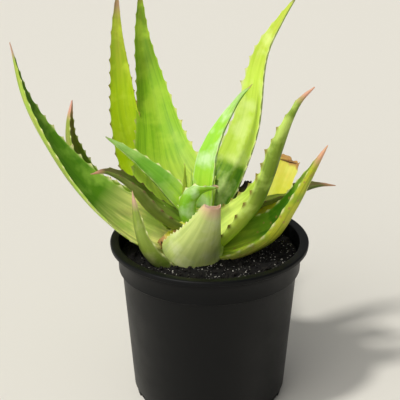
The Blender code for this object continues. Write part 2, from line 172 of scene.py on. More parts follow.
@dataclass(frozen=True)
class LeafCuticle:
    """Living aloe leaf: a waxy cuticle over wet green flesh, so it has a soft satin shine and soaks up light.

    The upper side turns from foot to body between the shares of its length in foot_reach, and from body to
    upper between those in body_reach; back_reach does the same for the underside. freckles and soak are
    shares from 0 to 1.
    """

    name: str
    body: str
    pale: str
    streak: str
    foot: str
    upper: str
    tip: str
    back: str
    back_foot: str
    foot_reach: tuple[float, float] = (0.18, 0.34)
    body_reach: tuple[float, float] = (0.62, 0.86)
    back_reach: tuple[float, float] = (0.08, 0.4)
    roughness: float = 0.42
    tooth: str = "#DDE39A"
    tooth_point: str = "#8A5A33"
    wound: str = "#D9B9A2"
    freckle: str = "#A98B4B"
    freckles: float = 0.0
    soak: float = 0.14
    ior: float = 1.42
    fibre_mm: float = 0.9
    fibre_run_mm: float = 26.0
    streak_mm: float = 3.4
    streak_run_mm: float = 60.0
    blotch_mm: float = 14.0
    freckle_gap_mm: float = 5.0
    soak_mm: float = 2.5

    def material(self) -> bpy.types.Material:
        """Build the leaf skin's material.

        Returns:
            The material, which reads the blade's attributes and the leaf's UV map.
        """
        material, tree, shader = new_material(self.name)
        blade = add_node(tree, "ShaderNodeAttribute", {"attribute_name": "blade"})
        along, across, top = add_node(
            tree, "ShaderNodeSeparateColor", inputs={0: blade.outputs["Color"]}).outputs
        marks = add_node(tree, "ShaderNodeAttribute", {"attribute_name": "marks"})
        tooth, dryness, wound = add_node(
            tree, "ShaderNodeSeparateColor", inputs={0: marks.outputs["Color"]}).outputs
        skin_map = add_node(tree, "ShaderNodeUVMap", {"uv_map": "skin"})
        place = add_node(tree, "ShaderNodeTexCoord")
        # Fibres and streaks are fine across the blade and long along it. The UV map is in metres.
        fibre_map = add_node(tree, "ShaderNodeMapping", inputs={
            "Vector": skin_map.outputs["UV"],
            "Scale": (1 / (self.fibre_mm * MM), 1 / (self.fibre_run_mm * MM), 1.0)})
        fibre = add_node(tree, "ShaderNodeTexNoise", inputs={
            "Vector": fibre_map.outputs["Vector"], "Scale": 1.0, "Detail": 3.0, "Roughness": 0.6})
        streak_map = add_node(tree, "ShaderNodeMapping", inputs={
            "Vector": skin_map.outputs["UV"],
            "Scale": (1 / (self.streak_mm * MM), 1 / (self.streak_run_mm * MM), 1.0)})
        streak = add_node(tree, "ShaderNodeTexNoise", inputs={
            "Vector": streak_map.outputs["Vector"], "Scale": 1.0, "Detail": 2.0, "Distortion": 0.6})
        blotch = add_node(tree, "ShaderNodeTexNoise", inputs={
            "Vector": place.outputs["Object"], "Scale": 1 / (self.blotch_mm * MM), "Detail": 3.0})
        freckle = add_node(tree, "ShaderNodeTexVoronoi", inputs={
            "Vector": place.outputs["Object"], "Scale": 1 / (self.freckle_gap_mm * MM), "Randomness": 1.0})
        ragged_dryness = add_node(tree, "ShaderNodeMath", {"operation": "MULTIPLY_ADD"}, {
            0: blotch.outputs[0], 1: 0.3, 2: dryness})
        upper_side = add_node(tree, "ShaderNodeValToRGB", inputs={0: along})
        set_ramp(upper_side, [
            (0.0, self.foot), (self.foot_reach[0], self.foot), (self.foot_reach[1], self.body),
            (self.body_reach[0], self.body), (self.body_reach[1], self.upper)])
        underside = add_node(tree, "ShaderNodeValToRGB", inputs={0: along})
        set_ramp(underside, [(self.back_reach[0], self.back_foot), (self.back_reach[1], self.back)])
        layered = add_node(tree, "ShaderNodeMix", {"data_type": "RGBA"}, {
            0: top, 6: underside.outputs[0], 7: upper_side.outputs[0]})
        # Layers from the flesh outwards: what shapes each, two of its values and the layer's shares there,
        # and the layer's colour.
        layers = (
            # Soft dark streaks, pale clouds where the skin lifts off the flesh, and fine fibres.
            (streak.outputs[0], (0.46, 0.66, 0.0, 0.5), self.streak),
            (blotch.outputs[0], (0.48, 0.66, 0.0, 0.65), self.pale),
            (fibre.outputs[0], (0.3, 0.75, 0.0, 0.22), self.streak),
            # The margin's narrow pale rim, and freckles about two millimetres across on older leaves.
            (across, (0.92, 0.99, 0.0, 0.45), self.pale),
            (freckle.outputs["Distance"], (0.12, 0.26, self.freckles, 0.0), self.freckle),
            # Horny teeth with brown points, and the dry end with a ragged edge.
            (tooth, (0.05, 0.45, 0.0, 1.0), self.tooth),
            (tooth, (0.6, 1.0, 0.0, 0.8), self.tooth_point),
            (ragged_dryness.outputs[0], (0.3, 0.75, 0.0, 1.0), self.tip),
        )
        for shape, (low, high, low_share, high_share), colour in layers:
            share = add_node(tree, "ShaderNodeMapRange", inputs={
                0: shape, 1: low, 2: high, 3: low_share, 4: high_share})
            layered = add_node(tree, "ShaderNodeMix", {"data_type": "RGBA"}, {
                0: share.outputs[0], 6: layered.outputs[2], 7: srgb(colour)})
        healed = add_node(tree, "ShaderNodeMix", {"data_type": "RGBA"}, {
            0: wound, 6: layered.outputs[2], 7: srgb(self.wound)})
        dull = add_node(tree, "ShaderNodeMapRange", inputs={
            0: fibre.outputs[0], 1: 0.2, 2: 0.8, 3: self.roughness - 0.05, 4: self.roughness + 0.12})
        relief = add_node(tree, "ShaderNodeBump", inputs={
            "Height": fibre.outputs[0], "Strength": 0.35, "Distance": 0.2 * MM})
        set_sockets(tree, shader, {
            "Base Color": healed.outputs[2], "Roughness": dull.outputs[0], "Normal": relief.outputs["Normal"],
            "IOR": self.ior, "Specular IOR Level": 0.3, "Subsurface Weight": self.soak,
            "Subsurface Radius": (0.7, 1.0, 0.25), "Subsurface Scale": self.soak_mm * MM})
        return material


@dataclass(frozen=True)
class Grit:
    """Loose mineral or bark crumbs: dull, uneven grains with a colour that changes from grain to grain."""

    name: str
    dark: str
    light: str
    roughness: float = 0.9
    patch_mm: float = 3.0
    grain_mm: float = 0.6

    def material(self) -> bpy.types.Material:
        """Build the crumbs' material.

        Returns:
            The material.
        """
        material, tree, shader = new_material(self.name)
        place = add_node(tree, "ShaderNodeTexCoord")
        patch = add_node(tree, "ShaderNodeTexNoise", inputs={
            "Vector": place.outputs["Object"], "Scale": 1 / (self.patch_mm * MM), "Detail": 4.0,
            "Roughness": 0.65})
        ramp = add_node(tree, "ShaderNodeValToRGB", inputs={0: patch.outputs[0]})
        set_ramp(ramp, [(0.36, self.dark), (0.66, self.light)])
        grain = add_node(tree, "ShaderNodeTexNoise", inputs={
            "Vector": place.outputs["Object"], "Scale": 1 / (self.grain_mm * MM), "Detail": 3.0})
        relief = add_node(tree, "ShaderNodeBump", inputs={
            "Height": grain.outputs[0], "Strength": 0.9, "Distance": 0.4 * MM})
        set_sockets(tree, shader, {
            "Base Color": ramp.outputs[0], "Normal": relief.outputs["Normal"], "Roughness": self.roughness,
            "Specular IOR Level": 0.25})
        return material


@dataclass(frozen=True)
class MouldedPolypropylene:
    """Injection-moulded black polypropylene: a fine satin grain that spreads highlights into soft bands."""

    name: str = "moulded black polypropylene"
    colour: str = "#08090A"
    dust: str = "#141517"
    roughness: float = 0.42
    ior: float = 1.49
    grain_mm: float = 0.5
    cloud_mm: float = 30.0

    def material(self) -> bpy.types.Material:
        """Build the pot's material.

        Returns:
            The material.
        """
        material, tree, shader = new_material(self.name)
        place = add_node(tree, "ShaderNodeTexCoord")
        # A thin uneven film of dust greys the plastic and dulls it in clouds.
        cloud = add_node(tree, "ShaderNodeTexNoise", inputs={
            "Vector": place.outputs["Object"], "Scale": 1 / (self.cloud_mm * MM), "Detail": 4.0,
            "Roughness": 0.6})
        dust_share = add_node(tree, "ShaderNodeMapRange", inputs={
            0: cloud.outputs[0], 1: 0.45, 2: 0.75, 3: 0.0, 4: 0.22})
        dusty = add_node(tree, "ShaderNodeMix", {"data_type": "RGBA"}, {
            0: dust_share.outputs[0], 6: srgb(self.colour), 7: srgb(self.dust)})
        dull = add_node(tree, "ShaderNodeMapRange", inputs={
            0: cloud.outputs[0], 1: 0.3, 2: 0.7, 3: self.roughness - 0.04, 4: self.roughness + 0.08})
        grain = add_node(tree, "ShaderNodeTexNoise", inputs={
            "Vector": place.outputs["Object"], "Scale": 1 / (self.grain_mm * MM), "Detail": 2.0})
        relief = add_node(tree, "ShaderNodeBump", inputs={
            "Height": grain.outputs[0], "Strength": 0.12, "Distance": 0.05 * MM})
        set_sockets(tree, shader, {
            "Base Color": dusty.outputs[2], "Roughness": dull.outputs[0], "Normal": relief.outputs["Normal"],
            "IOR": self.ior, "Specular IOR Level": 0.14})
        return material


@dataclass(frozen=True)
class StudioPaper:
    """Seamless warm white backdrop paper: matt and even."""

    name: str = "seamless warm white paper"
    colour: str = "#E3E0D7"
    tooth_mm: float = 1.5

    def material(self) -> bpy.types.Material:
        """Build the backdrop's material.

        Returns:
            The material.
        """
        material, tree, shader = new_material(self.name)
        place = add_node(tree, "ShaderNodeTexCoord")
        tooth = add_node(tree, "ShaderNodeTexNoise", inputs={
            "Vector": place.outputs["Object"], "Scale": 1 / (self.tooth_mm * MM), "Detail": 2.0})
        relief = add_node(tree, "ShaderNodeBump", inputs={
            "Height": tooth.outputs[0], "Strength": 0.05, "Distance": 0.1 * MM})
        set_sockets(tree, shader, {
            "Base Color": srgb(self.colour), "Normal": relief.outputs["Normal"], "Roughness": 0.95,
            "Specular IOR Level": 0.1})
        return material


class LeafEnd(Enum):
    """How a leaf ends."""

    POINTED = "pointed"
    CUT = "cut"
    TORN = "torn"
    WITHERED = "withered"


# How far the ragged edge of a broken end stands out and in.
JAG = {LeafEnd.CUT: 0.9 * MM, LeafEnd.TORN: 3.2 * MM}


class Skin(Enum):
    """The kinds of leaf skin on this plant.

    Leaves in the sun bleach to yellow, shaded and young ones stay green, old ones turn olive, rosy or brown.
    A few skins carry painted light and painted shade in their foot colours, as noted on each.
    """

    # The dark green foot, which ends sharply between 0.27 and 0.3 of the length, is painted shadow: the
    # shadow that the inner leaf in front casts across this leaf's lower part.
    CANARY = LeafCuticle("sun-bleached aloe leaf skin", body="#D0EA5A", pale="#EAF9A0", streak="#B0D22C",
                         foot="#3F7C0A", upper="#BFCB50", tip="#8E8F4C", back="#8FA83A", back_foot="#9CB648",
                         foot_reach=(0.27, 0.3))
    LIME = LeafCuticle("lime aloe leaf skin", body="#A9C604", pale="#C6DA3C", streak="#83AA08",
                       foot="#DDEC5C", upper="#9B9C36", tip="#A98A66", back="#8A9A34", back_foot="#A9BC48",
                       tooth="#8F8A3C")
    BRIGHT = LeafCuticle("bright aloe leaf skin", body="#96C424", pale="#B4D43C", streak="#5C9212",
                         foot="#D2E85A", upper="#7C9226", tip="#8F7A3C", back="#7E9434", back_foot="#9CB648",
                         tooth="#C9CF72")
    # The pale yellow foot is painted sunlight on the lower part of the leaf's upper side, which the leaves
    # above it shade.
    GREEN = LeafCuticle("mid green aloe leaf skin", body="#5C9018", pale="#A2CC4C", streak="#3F7810",
                        foot="#FFFF96", upper="#66802A", tip="#C09A84", back="#BCCB58", back_foot="#DCEA62")
    # The bright yellow-green back_foot is painted light on the lower underside, which lies in shade.
    SAGE = LeafCuticle("sage aloe leaf skin", body="#B4D044", pale="#D4EC78", streak="#90AE30",
                       foot="#EAF884", upper="#9EA651", tip="#D39C82", back="#6E8628", back_foot="#E6FC60",
                       tooth="#8A8436")
    MINT = LeafCuticle("young aloe leaf skin", body="#A0D83C", pale="#E4F8CC", streak="#7CC424",
                       foot="#C0E848", upper="#B0D080", tip="#A99A5C", back="#8CB62E", back_foot="#A9D048")
    LEAF = LeafCuticle("inner aloe leaf skin", body="#74AC30", pale="#AACB6A", streak="#54921F",
                       foot="#B4DA3A", upper="#8FB45C", tip="#8E9C62", back="#A9CB4E", back_foot="#C0DC58")
    OLIVE = LeafCuticle("old olive aloe leaf skin", body="#5C7020", pale="#808A44", streak="#44541A",
                        foot="#84A830", upper="#6A5E38", tip="#B98A6C", back="#6A7C2C", back_foot="#84983A",
                        tooth="#6A5A38", roughness=0.4)
    # The pale yellow back_foot is painted light on the lower underside, which the front cut leaf shades.
    SPOTTED = LeafCuticle("freckled aloe leaf skin", body="#4A840C", pale="#84AC2A", streak="#346C0A",
                          foot="#BCD040", upper="#A9A24C", tip="#DDA786", back="#CACE38", back_foot="#FFF87C",
                          freckles=0.7)
    ROSY = LeafCuticle("rosy-edged aloe leaf skin", body="#6C8E18", pale="#8EA834", streak="#527414",
                       foot="#8FAE30", upper="#8A7A34", tip="#D39A86", back="#A8AC50", back_foot="#7F9A30")
    GREY = LeafCuticle("sun-greyed aloe leaf skin", body="#B4C85A", pale="#E4EAB4", streak="#9EB45C",
                       foot="#B2C660", upper="#C9CA80", tip="#D8AE92", back="#CFDC84", back_foot="#D8E882")
    DUSKY = LeafCuticle("dusky aloe leaf skin", body="#8E9C42", pale="#B4B878", streak="#6C8030",
                        foot="#86A034", upper="#8E9440", tip="#C4A088", back="#869A3A", back_foot="#587620")
    YELLOW = LeafCuticle("yellowed aloe leaf skin", body="#E2E834", pale="#F0F07C", streak="#C4CC26",
                         foot="#D9DE50", upper="#E6DC5A", tip="#BE9050", back="#C9CB42", back_foot="#C4CE48",
                         wound="#B98C56")
    BROWN = LeafCuticle("withered aloe leaf", body="#6E7034", pale="#8A8848", streak="#4C4E26",
                        foot="#8C8A42", upper="#4A4028", tip="#241E16", back="#5A5830", back_foot="#6A6A34",
                        wound="#1E1812", roughness=0.75, soak=0.0)


@dataclass
class CrossSections:
    """A blade's cross-sections, one row for each.

    stations are shares of the length; centre is a place, and heading, side and up are its directions; fold is
    in radians; the rest are metres, with left and right the heights of the two margins' teeth.
    """

    length: float
    stations: np.ndarray
    centre: np.ndarray
    heading: np.ndarray
    side: np.ndarray
    up: np.ndarray
    width: np.ndarray
    fold: np.ndarray
    thick: np.ndarray
    left: np.ndarray
    right: np.ndarray


@dataclass
class LeafBlade:
    """One leaf: a channelled blade with toothed margins, along a path from its foot to its end.

    path holds (heading in degrees, distance from the crown's axis, height above the soil), in mm.
    back is the heading that the leaf's back faces, fold half the angle of its channel and tilt its roll,
    each at the foot, half way and at the end. The blade widens from foot_width to width at the share widest
    of its length, and narrows beyond to end_share of its width, later with a larger fullness. Sizes are mm.
    """

    node: str
    slot: str
    skin: Skin
    path: tuple[tuple[float, float, float], ...]
    back: tuple[float, float, float]
    width: float
    foot_width: float
    thick: float
    fold: tuple[float, float, float] = (40, 40, 40)
    tilt: tuple[float, float, float] = (0, 0, 0)
    widest: float = 0.2
    fullness: float = 1.3
    end_share: float = 0.03
    end: LeafEnd = LeafEnd.POINTED
    tooth_spacing: float = 9.0
    tooth_height: float = 2.2
    left_teeth: float = 1.0
    right_teeth: float = 1.0
    dry_length: float = 10.0
    seed: int = 1
    around: int = 40
    steps_per_tooth: int = 8
    first_tooth: int = 5
    steps_per_point: int = 40
    spine_points: int = 241
    margin_from: float = 0.93
    tooth_lean: float = 0.45
    ripple: float = 0.5
    waviness: float = 0.7
    withered_from: float = 0.6
    withered_shrink: float = 0.45
    wound_rim: float = 0.8
    wound_depth: float = 1.6

    def stations(self, length: float, rng: np.random.Generator) -> np.ndarray:
        """Space the cross-sections so that each tooth's point falls on one of them.

        Args:
            length: The blade's length in mm.
            rng: The leaf's own random source.

        Returns:
            Shares of the length from 0 to 1.
        """
        teeth = max(4, round(length / self.tooth_spacing))
        gaps = 1 + 0.45 * (rng.random(teeth) - 0.5)
        points = np.concatenate([[0.0], np.cumsum(gaps)]) / gaps.sum()
        return np.interp(np.arange(teeth * self.steps_per_tooth + 1) / self.steps_per_tooth,
                         np.arange(teeth + 1), points)

    def spine(self, crown: Vector) -> tuple[np.ndarray, float]:
        """Read a dense smooth curve through the path's points.

        Args:
            crown: Where the rosette's axis meets the soil, in metres.

        Returns:
            Points evenly spaced along the curve, and its length in metres.
        """
        turns = np.radians([point[0] for point in self.path])
        reach = np.array([point[1] for point in self.path])
        points = np.stack([reach * np.cos(turns), reach * np.sin(turns),
                           np.array([point[2] for point in self.path])], axis=1) * MM + np.array(crown)
        ends = np.vstack([2 * points[0] - points[1], points, 2 * points[-1] - points[-2]])
        dense = []
        for before, start, stop, after in zip(ends, ends[1:], ends[2:], ends[3:]):
            u = np.linspace(0, 1, self.steps_per_point, endpoint=False)[:, None]
            dense.append(0.5 * (2 * start + (stop - before) * u
                                + (2 * before - 5 * start + 4 * stop - after) * u ** 2
                                + (3 * start - before - 3 * stop + after) * u ** 3))
        curve = np.vstack(dense + [points[-1:]])
        run = np.append(0, np.cumsum(np.linalg.norm(np.diff(curve, axis=0), axis=1)))
        even = np.linspace(0, run[-1], self.spine_points)
        return np.stack([np.interp(even, run, curve[:, axis]) for axis in range(3)], axis=1), float(run[-1])

    def width_at(self, share: np.ndarray) -> np.ndarray:
        """Give the blade's width.

        Args:
            share: Shares of its length.

        Returns:
            The width in metres at each.
        """
        rise = np.sin(np.clip(share / self.widest, 0, 1) * math.pi / 2)
        near = self.foot_width + (self.width - self.foot_width) * rise
        beyond = np.clip((share - self.widest) / (1 - self.widest), 0, 1)
        far = self.width * (self.end_share + (1 - self.end_share) * (1 - beyond ** self.fullness))
        return np.where(share < self.widest, near, far) * MM

    def teeth(self, stations: int, phase: int, rng: np.random.Generator) -> np.ndarray:
        """Shape one margin's teeth, each with a long back and a short front.

        Args:
            stations: How many cross-sections the blade has.
            phase: The first tooth's place, in cross-sections.
            rng: The leaf's own random source.

        Returns:
            The tooth's height at each cross-section, from 0 to about 1.
        """
        profile = {-3: 0.1, -2: 0.28, -1: 0.6, 0: 1.0, 1: 0.4, 2: 0.12}
        heights = np.zeros(stations)
        for point in range(phase, stations, self.steps_per_tooth):
            size = 0.7 + 0.5 * rng.random()
            for offset, share in profile.items():
                if 0 <= point + offset < stations:
                    heights[point + offset] = share * size
        return heights

    @staticmethod
    def through(values: tuple[float, float, float], share: np.ndarray) -> np.ndarray:
        """Read a smooth curve through three values.

        Args:
            values: The values at the foot, half way and at the end.
            share: Shares of the length.

        Returns:
            The curve's value at each.
        """
        first, middle, last = values
        return (first * (1 - share) * (1 - 2 * share) + 4 * middle * share * (1 - share)
                + last * share * (2 * share - 1))

    def cross_sections(self, crown: Vector) -> CrossSections:
        """Place and size the blade's cross-sections along its spine.

        Args:
            crown: Where the rosette's axis meets the soil, in metres.

        Returns:
            The cross-sections.
        """
        rng = np.random.default_rng(self.seed)
        spine, length = self.spine(crown)
        stations = self.stations(length / MM, rng)
        count = len(stations)
        even = np.linspace(0, 1, len(spine))
        centre, heading = (
            np.stack([np.interp(stations, even, values[:, axis]) for axis in range(3)], axis=1)
            for values in (spine, np.gradient(spine, axis=0)))
        heading /= np.linalg.norm(heading, axis=1)[:, None]
        back = np.radians(self.through(self.back, stations))
        level = np.stack([-np.sin(back), np.cos(back), np.zeros(count)], axis=1)
        level -= heading * np.sum(level * heading, axis=1)[:, None]
        level /= np.linalg.norm(level, axis=1)[:, None]
        inward = np.cross(heading, level)
        tilt = np.radians(self.through(self.tilt, stations))[:, None]
        width = self.width_at(stations)
        # Teeth shrink with the blade, and there are none where it clasps the stem or on its very tip.
        tooth_scale = self.tooth_height * MM * np.clip(width / (self.width * MM) * 1.8, 0.35, 1.0)
        tooth_scale *= np.clip((stations - 0.03) / 0.08, 0, 1) * np.clip((0.97 - stations) / 0.06, 0, 1)
        left = self.teeth(count, self.first_tooth, rng) * tooth_scale * self.left_teeth
        right = self.teeth(count, self.first_tooth + self.steps_per_tooth // 2, rng)
        return CrossSections(
            length=length, stations=stations, centre=centre, heading=heading,
            side=level * np.cos(tilt) + inward * np.sin(tilt),
            up=inward * np.cos(tilt) - level * np.sin(tilt),
            width=width, fold=np.radians(self.through(self.fold, stations)),
            thick=self.thick * MM * (width / (self.width * MM)) ** 0.8,
            left=left, right=right * tooth_scale * self.right_teeth)

    def unevenness(self, across: np.ndarray, along: np.ndarray, layer: float) -> np.ndarray:
        """Read the leaf's own smooth noise.

        Args:
            across: Places in the noise the one way.
            along: The same places the other way.
            layer: Which layer of the noise to read.

        Returns:
            A value from about -1 to 1 for each place.
        """
        return np.array([noise.noise(Vector((*spot, self.seed * layer))) for spot in zip(across, along)])

    def wrap(self, rows: CrossSections, row: np.ndarray, share: np.ndarray,
             top: np.ndarray) -> tuple[np.ndarray, np.ndarray]:
        """Find where each vertex lies on the blade.

        Args:
            rows: The cross-sections.
            row: Each vertex's cross-section.
            share: Its place across the blade, from -1 at the left margin to 1 at the right one.
            top: Whether it is on the upper side.

        Returns:
            The places, and how far each is drawn out by a tooth, in metres.
        """
        stations, width, fold, heading = (values[row] for values in (
            rows.stations, rows.width, rows.fold, rows.heading))
        bend = width / 2 / fold
        angle = share * fold
        depth = np.where(top, 0.0, rows.thick[row] * np.clip(1 - np.abs(share) ** 2.4, 0, 1) ** 0.75)
        # Both sides swell and sink a little between the margins, which wander up and down.
        swell = self.unevenness(share * 5.0, stations * 3.0, 3.7)
        middle = np.clip(1 - np.abs(share) ** 2, 0, 1)
        radius = bend + depth + swell * self.ripple * MM * middle * np.clip(width / (12 * MM), 0, 1)
        wander = self.unevenness(stations * 9.0, 4.0 * np.sign(share), 1.9)
        across = radius * np.sin(angle)
        rise = bend - radius * np.cos(angle) + wander * self.waviness * MM * np.abs(share) ** 3
        place = rows.centre[row] + rows.side[row] * across[:, None] + rows.up[row] * rise[:, None]
        # A tooth draws the margin outwards, and forwards by nearly half as much.
        margin = np.clip((np.abs(share) - self.margin_from) / (1 - self.margin_from), 0, 1) ** 1.5
        reach = np.sign(share) * np.where(share > 0, rows.right[row], rows.left[row]) * margin
        outward = rows.side[row] * np.cos(angle)[:, None] + rows.up[row] * np.sin(angle)[:, None]
        place += outward * reach[:, None] + heading * (np.abs(reach) * self.tooth_lean)[:, None]
        if self.end in JAG:
            rough = self.unevenness(share * 4.0, depth * 900, 5.1)
            last = np.clip((stations - 0.9) / 0.1, 0, 1)
            place += heading * (rough * JAG[self.end] * last)[:, None]
        if self.end is LeafEnd.WITHERED:
            withered = np.clip((stations - self.withered_from) / (1 - self.withered_from), 0, 1) ** 2
            shrink = 1 - self.withered_shrink * withered
            place = rows.centre[row] + (place - rows.centre[row]) * shrink[:, None]
        return place, np.abs(reach)

    def build(self, crown: Vector) -> bpy.types.Object:
        """Wrap a grid round the blade's cross-sections, close its ends and mark its skin.

        The attribute blade holds the share along the leaf, the share across it and whether it is the upper
        side; marks holds tooth, dryness and wound. The UV map is in metres.

        Args:
            crown: Where the rosette's axis meets the soil, in metres.

        Returns:
            The leaf's object, at the origin with its place in its mesh.
        """
        rows = self.cross_sections(crown)
        count = len(rows.stations)
        work = bmesh.new()
        bmesh.ops.create_grid(work, x_segments=self.around, y_segments=count - 1, size=1.0)
        blade = work.verts.layers.float_color.new("blade")
        marks = work.verts.layers.float_color.new("marks")
        skin = work.loops.layers.uv.new("skin")
        grid = np.array([vertex.co for vertex in work.verts])
        row = np.rint((grid[:, 1] + 1) / 2 * (count - 1)).astype(int)
        turn = (grid[:, 0] + 1) / 2
        top = turn <= 0.5
        share = np.sin(np.where(top, 4 * turn - 1, 3 - 4 * turn) * math.pi / 2)
        place, reach = self.wrap(rows, row, share, top)
        stations = rows.stations[row]
        dryness = np.clip(1 - (rows.length / MM - stations * rows.length / MM) / self.dry_length, 0, 1)
        if self.end is LeafEnd.CUT:
            dryness *= 0.55
        for index, vertex in enumerate(work.verts):
            vertex.co = place[index]
            vertex[blade] = (stations[index], abs(share[index]), float(top[index]), 1.0)
            vertex[marks] = (min(1.0, reach[index] / (self.tooth_height * MM)), dryness[index], 0.0, 1.0)
        work.verts.index_update()
        for face in work.faces:
            for loop in face.loops:
                number = loop.vert.index
                loop[skin].uv = (turn[number] * 2 * self.width * MM, stations[number] * rows.length)
        bmesh.ops.remove_doubles(work, verts=work.verts, dist=0.002 * MM)
        rims = [edge for edge in work.edges if edge.is_boundary]
        caps = bmesh.ops.holes_fill(work, edges=rims, sides=0)["faces"]
        bmesh.ops.recalc_face_normals(work, faces=work.faces)
        if self.end in JAG:
            tip = Vector(rows.centre[-1])
            for cap in caps:
                if (cap.calc_center_median() - tip).length <= self.width * MM:
                    self.wound(work, cap, Vector(rows.heading[-1]), marks)
        leaf = finish_mesh(work, self.node + "_blade")
        leaf.data.shade_smooth()
        leaf.data.set_sharp_from_angle(angle=math.radians(60))
        return leaf

    def wound(self, work: bmesh.types.BMesh, cap: bmesh.types.BMFace, heading: Vector, marks: Any) -> None:
        """Sink the flesh of a cut or torn end below its rim.

        Args:
            work: The leaf's mesh.
            cap: The face that closes the end.
            heading: The way the leaf points there.
            marks: The vertex layer that holds the skin's marks.
        """
        for vertex in cap.verts:
            vertex[marks] = (0.0, vertex[marks][1], 0.8, 1.0)
        bmesh.ops.inset_region(work, faces=[cap], thickness=self.wound_rim * MM, depth=0.0)
        for vertex in cap.verts:
            vertex.co -= heading * self.wound_depth * MM
            vertex[marks] = (0.0, vertex[marks][1], 1.0, 1.0)

    def dress(self, obj: bpy.types.Object, materials: dict[Skin, bpy.types.Material]) -> None:
        """Give the leaf its skin and tie it to the frame.

        Args:
            obj: The leaf.
            materials: The material of each kind of skin.
        """
        obj.data.materials.append(materials[self.skin])
        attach(obj, BODY)
        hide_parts(self.node)


